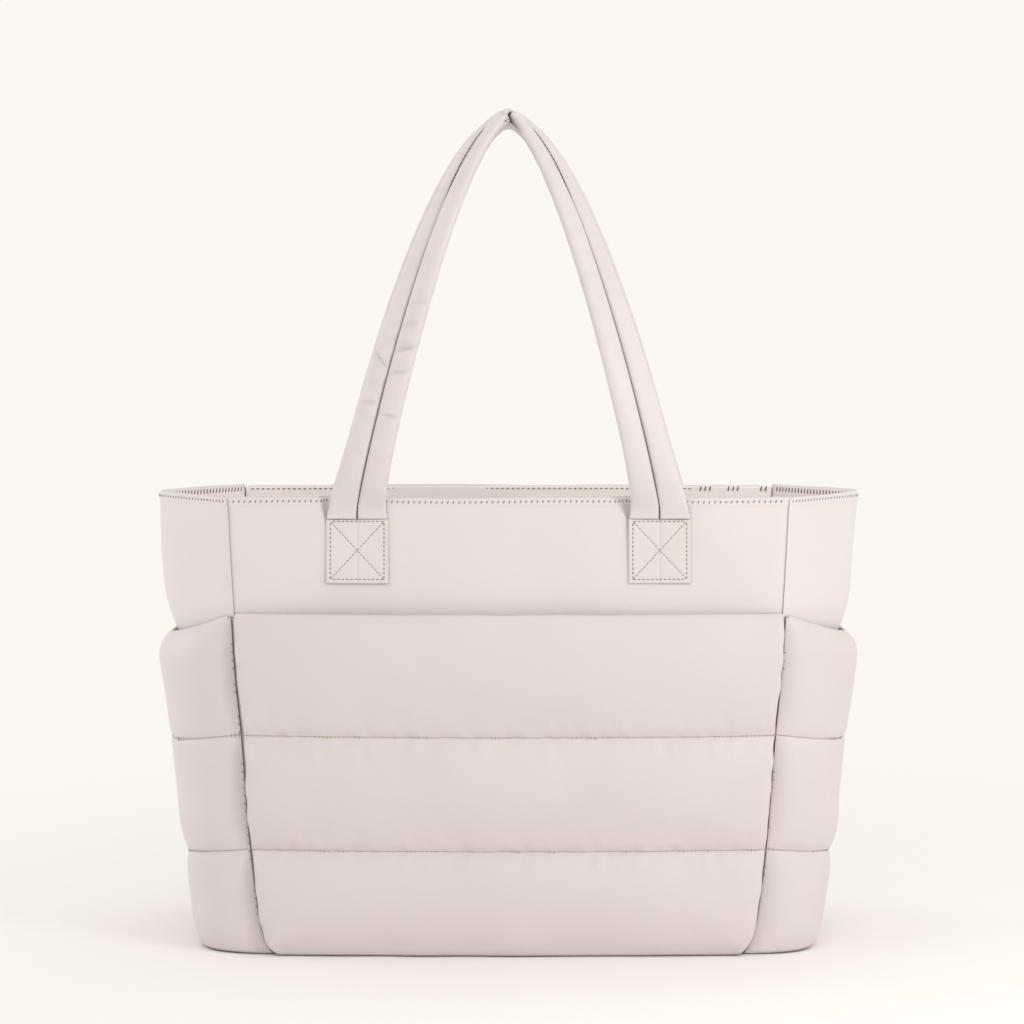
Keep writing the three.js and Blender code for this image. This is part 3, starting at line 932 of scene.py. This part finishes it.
def side_pocket(place, row, seed, outside):
    """The right side pocket's outer cloth or its lining: points of the gusset, let down by the
    sag, and moved along its normal by the slot and by the stuffing's half-ellipses."""
    stand, sag = side_stand(row)
    height = row - sag * (1 - place**2)
    half_depth = body_plan(height)[2]
    at = place * (1 - SIDE_INSET / half_depth)
    nearby = 0.01
    ahead = np.stack(gusset_outline(at + nearby, height), axis=-1)
    behind = np.stack(gusset_outline(at - nearby, height), axis=-1)
    along = unit(ahead - behind)
    puff = SIDE_PUFF * fullness(row, MOUTH_HEIGHT)
    slot = (stand - (STUFFED_EDGE + puff) / 2) * (1 - np.abs(place) ** SLOT_SQUARENESS)
    x, y = gusset_outline(at, height)
    sway = SIDE_SWAY * ripple(y, row, SIDE_SWAY_LENGTH, seed + 5)
    body = STUFFED_EDGE - SIDE_EDGE + puff + puckers(y, row + 0 * place, seed) + sway
    stuffing = SIDE_EDGE + body * edge_round(place, half_depth, SIDE_ROUND)
    opened = smoothstep(row, SIDE_SLOT_FROM, SIDE_SLOT_TO)
    offset = WALL_CLEAR + (slot + stuffing if outside else slot * opened)
    return points(x + along[..., 1] * offset, y - along[..., 0] * offset, height)


side_place, side_row = np.meshgrid(np.linspace(-1, 1, SIDE_COLUMNS), pocket_rows)
side_held = sewn_points(pocket_rows, SIDE_COLUMNS)
for side, pocket_seed in (("right", 41), ("left", 47)):
    side_outer = settle(side_pocket(side_place, side_row, pocket_seed, True), side_held)
    side_inner = side_pocket(side_place, side_row, pocket_seed, False)
    side_shell = shell(side_outer, side_inner, **POCKET_ROLLS)
    pocket = make_piece(f"{side}_patch_pocket", side_shell, pocket_nylon, side)
    smoothed(pocket, pocket_rows, SIDE_COLUMNS)
    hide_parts(f"{side}_side_pocket")
    side_sewing = quilting(side_outer, pocket_rows)
    make_piece(f"{side}_pocket_stitches", side_sewing, quilt_thread, side)

# Handles
# Two padded shoulder straps: a nylon band folded so that its edges meet along the middle of its
# face, sewn there, and stuffed flat. Each end is tucked into a square patch on the wall.
STRAP_HALF_WIDTH = 15.8
STRAP_END_SPREAD = 4.5
STRAP_SPREAD_REACH = 22.0
STRAP_HALF_THICKNESS = 4.6
STRAP_END_SHARE = 0.22
STRAP_SQUARENESS = 4.5
STRAP_LIFT = 2.5
STRAP_TURN = 0.46 * math.pi
STRAP_SLANT = math.pi / 5
STRAP_PEAK_DEPTH = 18.3
STRAP_FOOT = 289.2
STRAP_RISE = 48.0
STRAP_SWELL = 26.0
STRAP_LEG_START = 297.0
STRAP_SEWN_DEPTH = 1.8
STRAP_EASE = 26.0
STRAP_EASE_RINGS = 14
FOOT_RINGS = 8
LEG_RINGS = 400
ARC_RINGS = 30
STRAP_LOW_PULL = (11.0, 2.0, 351.0)
STRAP_HIGH_PULL = (41.0, 23.0, 527.0)
STRAP_SLIT = 0.6
STRAP_SLIT_OPEN = 1.6
SLIT_OPEN_AT = 38.0
SLIT_OPEN_REACH = 22.0
SLIT_STEEP_SHARE = 0.76
SLIT_SOFT_SHARE = 0.22
STRAP_ROUND = 5.0
SEAM_LIFT = 0.5
PEAK_SEAM_LIFT = 2.6
PEAK_SEAM_AT = 45.0
PEAK_SEAM_REACH = 50.0
PEAK_LAP = 3.0
PEAK_LAP_REACH = 18.0
PEAK_FOLD_WIDTH = 0.3
PEAK_FOLD_SLANT = 1.7
PEAK_GROOVE = 7.0
PEAK_GROOVE_WIDTH = 1.1
CRACK_DEPTH = 8.0
CRACK_PLACE = 0.97
CRACK_WIDTH = 0.03
CRACK_RIGHT = 24.0
CRACK_LEFT = 14.0
STRAP_COLOUR = "#e2dad6"
STRAP_SHADED = "#d6ccc6"
# Painted shade: the strap's seam thread is near black, its own colour darkened to stand for the
# shade inside the sewn slit.
STRAP_THREAD_AND_SLIT_SHADE_COLOUR = "#4f4540"
STRAP_STITCH = {"pitch": 3.0, "length": 2.9, "width": 0.9}

# Straps: name, the column of its wall's crown in the plan, half the distance between its ends, the
# radius and the top of its peak, and how much it is creased.
STRAPS = (
    ("front", FRONT_CROWN, 100.0, 8.5, 558.0, 1.0),
    ("back", BACK_CROWN, 107.0, 17.0, 556.0, 0.0),
)

# Distance across the strap from its sewn middle, as shares of its half-width.
LOBE = np.array([0.02, 0.045, 0.09, 0.18, 0.33, 0.5, 0.67, 0.81, 0.91, 0.97])

# Folds of the front strap: distance from the peak along it, negative on the left leg, the edge
# that the fold starts from, its slant in millimetres over the half-width, and its height as a
# share of the thickness.
STRAP_FOLDS = (
    (-196, 1, 13, 0.7),
    (-187, -1, 7, 0.75),
    (-155, -1, 2, 0.5),
    (-170, -1, 4, 0.5),
    (-203, -1, 5, 0.6),
    (-227, 1, -3, 0.6),
    (-233, -1, 0, 0.75),
)
FOLD_STEP = 0.6
FOLD_REACH = 6.0
FOLD_LEDGE = 0.4
FOLD_VALLEY = 1.4
FOLD_DEPTH = 0.6
WRINKLES = 0.05
MORE_WRINKLES = 0.16
WRINKLES_AT = -200.0
WRINKLES_REACH = 48.0
WRINKLES_ACROSS = 9.0
WRINKLE_LENGTH = 14.0
OFF_SEAM = (0.02, 0.3)


def wall_depth(crown_column, x, height):
    """Depth of a wall's plain outer face at a width and height."""
    plan = body_plan(height)
    return plan[2] + plan[crown_column] * (1 - (x / plan[0]) ** 2)


def eased(path, reach):
    """A path with its kinks rounded off: each point becomes a bell-weighted mean of those within
    reach, and beyond both ends the path goes on as its own half-turn image."""
    weight = np.hanning(2 * reach + 3)[1:-1]
    before = 2 * path[0] - path[reach:0:-1]
    beyond = 2 * path[-1] - path[-2:-reach - 2:-1]
    longer = np.concatenate([before, path, beyond])
    mean = [np.convolve(longer[:, k], weight / weight.sum(), "valid") for k in range(3)]
    return np.stack(mean, axis=1)


def strap_path(crown_column, end_centre, peak_radius, peak_top):
    """Rings of the right half of a strap that faces the viewer, from its patch to the peak: their
    centres, ways along, turns, half-widths and half-thicknesses. A short foot, a cubic Bezier curve
    and the arc of the peak, drawn to the wall, thinner and wider towards the foot."""
    inward, forward, low_height = STRAP_LOW_PULL
    outward, high_forward, high_height = STRAP_HIGH_PULL
    wall = wall_depth(crown_column, end_centre, STRAP_FOOT)
    stand = STRAP_HALF_THICKNESS + STRAP_LIFT
    depth = wall + stand
    half_span = peak_radius * math.sin(STRAP_SLANT)
    a = np.array([end_centre, -depth, STRAP_LEG_START])
    b = np.array([end_centre - inward, -depth - forward, low_height])
    c = np.array([half_span + outward, -STRAP_PEAK_DEPTH - high_forward, high_height])
    arc_foot = peak_top - peak_radius * (1 - math.cos(STRAP_SLANT))
    d = np.array([half_span, -STRAP_PEAK_DEPTH, arc_foot])
    foot_height = np.linspace(STRAP_FOOT, STRAP_LEG_START, FOOT_RINGS, endpoint=False)
    foot = points(end_centre, -depth, foot_height)
    t = np.linspace(0, 1, LEG_RINGS)[:, None]
    leg = (1 - t) ** 3 * a + 3 * t * (1 - t) ** 2 * b + 3 * t**2 * (1 - t) * c + t**3 * d
    angle = np.linspace(STRAP_SLANT, 0, ARC_RINGS + 1)[1:]
    rise = peak_top - peak_radius * (1 - np.cos(angle))
    arc = points(peak_radius * np.sin(angle), -STRAP_PEAK_DEPTH, rise)
    leg_turn = STRAP_TURN * t[:, 0]
    arc_turn = math.pi / 2 + (STRAP_TURN - math.pi / 2) * angle / STRAP_SLANT
    centre = eased(np.concatenate([foot, leg, arc]), STRAP_EASE_RINGS)
    climb = centre[:, 2] - STRAP_FOOT
    centre[:, 1] += (1 - smoothstep(climb, 0, STRAP_RISE)) * (stand - STRAP_SEWN_DEPTH)
    upright = smoothstep(climb, 0, STRAP_EASE)[:, None]
    along = unit(np.gradient(centre, axis=0))
    along = unit(along * upright + np.array([0.0, 0.0, 1.0]) * (1 - upright))
    along[-1] = (-1, 0, 0)
    turn = np.concatenate([np.zeros(len(foot)), leg_turn, arc_turn])
    half_width = STRAP_HALF_WIDTH + STRAP_END_SPREAD * np.exp(-climb / STRAP_SPREAD_REACH)
    swollen = STRAP_END_SHARE + (1 - STRAP_END_SHARE) * smoothstep(climb, 0, STRAP_SWELL)
    return centre, along, turn, half_width, STRAP_HALF_THICKNESS * swollen


def strap_section():
    """Once round the strap from one edge: place across it, which face it is on, and how thick it
    is there as a share. Both faces round off at the edges."""
    half = np.concatenate([[1.0], LOBE[::-1], [0.0], -LOBE])
    across = np.concatenate([half, -half])
    face = np.repeat([1.0, -1.0], len(half))
    return across, face, np.sqrt(1 - np.abs(across) ** STRAP_SQUARENESS)


def strap_slit(from_peak, across):
    """How deep the sewn slit along the front face is, as a share: it falls off exponentially to
    both sides, steeply and then softly, and gapes a little on both sides of the peak."""
    gap = np.abs(across) * STRAP_HALF_WIDTH
    opened = bell(np.abs(from_peak) - SLIT_OPEN_AT, SLIT_OPEN_REACH)
    reach = STRAP_SLIT + STRAP_SLIT_OPEN * opened[:, None]
    return SLIT_STEEP_SHARE * np.exp(-gap / reach) + SLIT_SOFT_SHARE * np.exp(-gap / STRAP_ROUND)


def strap_wrinkles(from_peak, across):
    """Soft wrinkles as a share of the thickness: a ripple along the strap, strongest half-way down
    its left leg, where it is bent most."""
    strength = WRINKLES + MORE_WRINKLES * bell(from_peak - WRINKLES_AT, WRINKLES_REACH)
    waves = ripple(from_peak[:, None], WRINKLES_ACROSS * across, WRINKLE_LENGTH, seed=61)
    return strength[:, None] * smoothstep(np.abs(across), *OFF_SEAM) * waves


def strap_folds(from_peak, across):
    """Ledges of folded cloth across one half of the strap, as a share of its thickness: each steps
    out at its line, dies away exponentially below it, and has a bell-shaped valley above it."""
    folds = np.zeros((len(from_peak), len(across)))
    for place, edge, slant, height in STRAP_FOLDS:
        below = place + slant * (np.abs(across) - 0.5) - from_peak[:, None]
        step = 0.5 + 0.5 * np.tanh(below / FOLD_STEP)
        half = smoothstep(edge * across, *OFF_SEAM)
        ledge = FOLD_LEDGE * step * np.exp(-np.clip(below, 0, None) / FOLD_REACH)
        valley = FOLD_DEPTH * bell(below + FOLD_VALLEY, FOLD_VALLEY)
        folds += height * half * (ledge - valley)
    return folds


def peak_crack(from_peak, across, face):
    """How far the strap's front edge is pressed in along its underside, where the bend of the peak
    makes it gape: a bell across the edge, which closes a little way down each leg."""
    reach = np.where(from_peak > 0, CRACK_RIGHT, CRACK_LEFT)
    opened = np.sqrt(np.clip(1 - np.abs(from_peak) / reach, 0, 1))
    place = bell(across + CRACK_PLACE, CRACK_WIDTH) * (face < 0)
    return CRACK_DEPTH * opened[:, None] * place


def strap_rings(path, creased):
    """A whole strap as a grid of rings: the right half's, then their mirror images. Each ring turns
    about the centre line from flat on to edge on, and at the fold of the peak the left leg laps
    over the right one. Also the outward way at each ring and its distance from the peak."""
    centre, along, turn, half_width, half_thickness = path
    mirror = np.array([-1.0, 1.0, 1.0])

    def whole(half, flip=1.0):
        return np.concatenate([half, half[-2::-1] * flip])

    outward = unit(points(along[:, 2], 0 * turn, -along[:, 0]))
    way = outward * np.cos(turn)[:, None] + np.array([0.0, 1.0, 0.0]) * np.sin(turn)[:, None]
    way = unit(way - along * (way * along).sum(axis=1, keepdims=True))
    normal = whole(np.cross(way, along), mirror)
    way = whole(way, mirror)
    centre = whole(centre, mirror)
    half_width = whole(half_width)
    half_thickness = whole(half_thickness)
    arc = arc_length(centre)
    from_peak = arc[-1] / 2 - arc
    across, face, edge = strap_section()
    folds = strap_folds(from_peak, across) * (face > 0)
    swell = creased * (folds + strap_wrinkles(from_peak, across))
    fill = edge * face * (1 - np.where(face > 0, strap_slit(from_peak, across), 0)) * (1 + swell)
    sideways = way[:, None] * (half_width[:, None] * across)[..., None]
    upwards = normal[:, None] * (half_thickness[:, None] * fill)[..., None]
    past_fold = from_peak[:, None] - PEAK_FOLD_SLANT * fill
    near_peak = bell(from_peak, PEAK_LAP_REACH)[:, None]
    lap = PEAK_LAP * np.tanh(past_fold / PEAK_FOLD_WIDTH) * near_peak
    groove = PEAK_GROOVE * (1 - across) / 2 * bell(past_fold, PEAK_GROOVE_WIDTH)
    backwards = points(0, creased * (lap + groove + peak_crack(from_peak, across, face)), 0)
    return centre[:, None] + sideways + upwards + backwards, normal, from_peak


def strap_mesh(rings):
    """Points and faces of a strap: quads between its rings, and one face over each end."""
    index = numbered(rings)
    ends = [index[0, ::-1].tolist(), index[-1].tolist()]
    return rings.reshape(-1, 3), ring_quads(index).tolist() + ends


strap_nylon = puffer_nylon("Strap nylon, woven", STRAP_COLOUR, STRAP_SHADED)
strap_thread_and_slit_shade = sewing_thread("Strap thread, spun polyester", STRAP_THREAD_AND_SLIT_SHADE_COLOUR)
for name, crown_column, end_centre, peak_radius, peak_top, creased in STRAPS:
    path = strap_path(crown_column, end_centre, peak_radius, peak_top)
    rings, outward, from_peak = strap_rings(path, creased)
    strap = make_piece(f"{name}_strap", strap_mesh(rings), strap_nylon, name)
    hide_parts(f"{name}_handle")
    # Painted shade: near the peak the dark seam thread is lifted out of the slit to show the shade
    # of the slit gaping there.
    seam_lift = SEAM_LIFT + PEAK_SEAM_LIFT * bell(np.abs(from_peak) - PEAK_SEAM_AT, PEAK_SEAM_REACH)
    seam_line = rings[:, len(LOBE) + 1] + seam_lift[:, None] * outward
    seam = stitches(seam_line, outward, **STRAP_STITCH)
    make_piece(f"{name}_strap_seam", seam, strap_thread_and_slit_shade, name)

# Strap patches
# Square nylon patches that hold the straps' ends: folded edges, sewn to the wall with a box and a
# cross of stitches that sink into them.
PATCH_HALF_WIDTH = 20.6
PATCH_BOTTOM = 246.5
PATCH_TOP = 289.0
PATCH_CLEAR = 0.5
PATCH_THICKNESS = 1.9
PATCH_FOLD = 0.9
PATCH_ROLLS = {"foot": 0.2, "sides": 0.2, "top": 0.2}
PATCH_COLUMNS = 67
PATCH_ROWS = 69
BOX_INSET = 2.8
BOX_TOP_INSET = 1.5
BOX_STITCH = {"pitch": 2.9, "length": 1.8, "width": 0.7}
CROSS_STITCH = {"pitch": 2.6, "length": 2.1, "width": 0.5}
BOX_POINTS = 60
BOX_DENT = 0.3
CROSS_DENT = 0.4
CENTRE_DENT = 0.7
DENT_WIDTH = 0.8
BOX_BOTTOM = PATCH_BOTTOM + BOX_INSET
BOX_TOP = PATCH_TOP - BOX_TOP_INSET
BOX_MIDDLE = (BOX_BOTTOM + BOX_TOP) / 2
BOX_HALF_WIDTH = PATCH_HALF_WIDTH - BOX_INSET
BOX_HALF_HEIGHT = (BOX_TOP - BOX_BOTTOM) / 2


def patch_face(crown_column, end_centre, place, height, outside=True):
    """The right patch's outer face or its back: it follows the wall, is rounded along its folded
    edges, and dips under the box and the cross of stitches by bell curves of the distance."""
    across = place * PATCH_HALF_WIDTH
    upwards = height - BOX_MIDDLE
    x = end_centre + across
    room_upwards = np.minimum(height - PATCH_BOTTOM, PATCH_TOP - height)
    room = np.minimum(PATCH_HALF_WIDTH - np.abs(across), room_upwards)
    rounded = np.sqrt(1 - (1 - np.clip(room / PATCH_FOLD, 0, 1)) ** 2)
    off_box = np.maximum(np.abs(across) - BOX_HALF_WIDTH, np.abs(upwards) - BOX_HALF_HEIGHT)
    off_cross = np.abs(np.abs(upwards) * BOX_HALF_WIDTH - np.abs(across) * BOX_HALF_HEIGHT)
    off_cross = off_cross / math.hypot(BOX_HALF_WIDTH, BOX_HALF_HEIGHT)
    crossed = CROSS_DENT * bell(off_cross, DENT_WIDTH) * (off_box < 0)
    centre = CENTRE_DENT * bell(across, DENT_WIDTH)
    dents = BOX_DENT * bell(off_box, DENT_WIDTH) + np.maximum(crossed, centre)
    cloth = PATCH_THICKNESS * (0.5 + 0.5 * rounded) - dents
    lift = PATCH_CLEAR + (cloth if outside else 0)
    return points(x, -(wall_depth(crown_column, x, height) + lift), height)


def mirrored(vertices, faces):
    """A mesh seen in a mirror across the bag's middle."""
    return vertices * np.array([-1.0, 1.0, 1.0]), faces[:, ::-1]


box_line = np.linspace(-1, 1, BOX_POINTS)
box_x = box_line * BOX_HALF_WIDTH / PATCH_HALF_WIDTH
box_z = BOX_MIDDLE + box_line * BOX_HALF_HEIGHT
patch_heights = np.linspace(PATCH_BOTTOM, PATCH_TOP, PATCH_ROWS)
patch_place, patch_height = np.meshgrid(np.linspace(-1, 1, PATCH_COLUMNS), patch_heights)
for name, crown_column, end_centre, *_ in STRAPS:
    end_face = partial(patch_face, crown_column, end_centre)
    patch_back = end_face(patch_place, patch_height, outside=False)
    patch = shell(end_face(patch_place, patch_height), patch_back, **PATCH_ROLLS)
    pair = joined(patch, mirrored(*patch))
    patches = make_piece(f"{name}_strap_patches", pair, strap_nylon, name)
    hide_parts(f"{name}_handle")
    box = joined(
        *[stitch_row(end_face, edge * box_x[-1], box_z, **BOX_STITCH) for edge in (-1, 1)],
        *[stitch_row(end_face, box_x, height, **BOX_STITCH) for height in (box_z[0], box_z[-1])],
        *[stitch_row(end_face, edge * box_x, box_z, **CROSS_STITCH) for edge in (-1, 1)],
    )
    box_pair = joined(box, mirrored(*box))
    make_piece(f"{name}_strap_stitches", box_pair, taupe_thread, name)

# Floor
# A seamless pale paper sweep: matt, and faded into the surrounding light a little way off.
BACKGROUND = "#fbf8f2"
FLOOR_COLOUR = "#f4f1ed"
FLOOR_FADE_FROM = 280.0
FLOOR_FADE_TO = 950.0
FLOOR_MIDDLE = 60.0
FLOOR_RADIUS = 2000.0
FLOOR_SIDES = 96
FLOOR_RINGS = 40
ring_angle = np.linspace(0, 2 * math.pi, FLOOR_SIDES, endpoint=False)
ring_radius = np.linspace(FLOOR_MIDDLE, FLOOR_RADIUS, FLOOR_RINGS)[:, None]
sweep = points(ring_radius * np.cos(ring_angle), ring_radius * np.sin(ring_angle), 0.0)
sweep_index = numbered(sweep)
sweep_faces = [*ring_quads(sweep_index)[:, ::-1].tolist(), sweep_index[0].tolist()]
floor_mesh = bpy.data.meshes.new("floor")
floor_mesh.from_pydata((sweep.reshape(-1, 3) * MM).tolist(), [], sweep_faces)
floor = placed("floor", floor_mesh)
paper = bpy.data.materials.new("Pale paper sweep, matt")
paper_tree = empty_tree(paper)
paper_where = add_node(paper_tree, "ShaderNodeTexCoord")
paper_far = add_node(paper_tree, "ShaderNodeVectorMath", {
    0: paper_where.outputs["Object"],
}, operation="LENGTH")
paper_fade = add_node(paper_tree, "ShaderNodeMapRange", {
    "Value": paper_far.outputs["Value"],
    "From Min": FLOOR_FADE_FROM * MM, "From Max": FLOOR_FADE_TO * MM,
}, interpolation_type="SMOOTHSTEP")
paper_face = add_node(paper_tree, "ShaderNodeBsdfDiffuse", {"Color": linear_colour(FLOOR_COLOUR)})
paper_gone = add_node(paper_tree, "ShaderNodeBsdfTransparent")
paper_mix = add_node(paper_tree, "ShaderNodeMixShader", {
    0: paper_fade.outputs["Result"], 1: paper_face.outputs["BSDF"], 2: paper_gone.outputs["BSDF"],
})
add_node(paper_tree, "ShaderNodeOutputMaterial", {"Surface": paper_mix.outputs["Shader"]})
floor_mesh.materials.append(paper)

# Light
# A bright even tent of white light, seen as a warm white ground, one soft lamp close by on the
# right, in front and above, and a weaker wide one that fills in the left side.
TENT_STRENGTH = 0.965
LIGHT_COLOUR = "#ffffff"

# Lamps by name, power in watts, and size and place in metres.
LAMPS = (
    ("key", 2.45, 0.4, (0.7, -0.72, 0.65)),
    ("fill", 2.9, 0.8, (-1.5, 0.5, 0.7)),
)
LAMP_AIM = (0.0, 0.0, 0.25)
world = bpy.data.worlds.new("Light tent")
bpy.context.scene.world = world
world_tree = empty_tree(world)
tent_light = add_node(world_tree, "ShaderNodeBackground", {
    "Color": linear_colour(LIGHT_COLOUR), "Strength": TENT_STRENGTH,
})
tent_seen = add_node(world_tree, "ShaderNodeBackground", {"Color": linear_colour(BACKGROUND)})
tent_path = add_node(world_tree, "ShaderNodeLightPath")
tent = add_node(world_tree, "ShaderNodeMixShader", {
    0: tent_path.outputs["Is Camera Ray"],
    1: tent_light.outputs["Background"],
    2: tent_seen.outputs["Background"],
})
add_node(world_tree, "ShaderNodeOutputWorld", {"Surface": tent.outputs["Shader"]})

for lamp_name, power, size, lamp_place in LAMPS:
    lamp_data = bpy.data.lights.new(lamp_name, "AREA")
    lamp_data.energy = power
    lamp_data.size = size
    lamp_data.color = linear_colour(LIGHT_COLOUR)[:3]
    lamp = placed(lamp_name, lamp_data)
    lamp.visible_camera = False
    lamp.location = lamp_place
    lamp_way = Vector(LAMP_AIM) - Vector(lamp_place)
    lamp.rotation_euler = lamp_way.to_track_quat("-Z", "Y").to_euler()

# Camera
# It stands as high as the middle of the straps, straight in front of the bag, and tilts down a
# little. Its place is in metres, and its focal length in pixels of the picture.
CAMERA_PLACE = (0.0024, -2.197, 0.4292)
CAMERA_TILT = math.radians(3.668)
CAMERA_FOCUS_PX = 3203
IMAGE_PX = 1024
SENSOR = 36.0
camera_data = bpy.data.cameras.new("camera")
camera_data.sensor_width = SENSOR
camera_data.lens = CAMERA_FOCUS_PX / IMAGE_PX * SENSOR
camera = placed("camera", camera_data)
camera.location = CAMERA_PLACE
camera.rotation_euler = (math.pi / 2 - CAMERA_TILT, 0.0, 0.0)
bpy.context.scene.camera = camera
bpy.context.scene.view_settings.view_transform = "Standard"
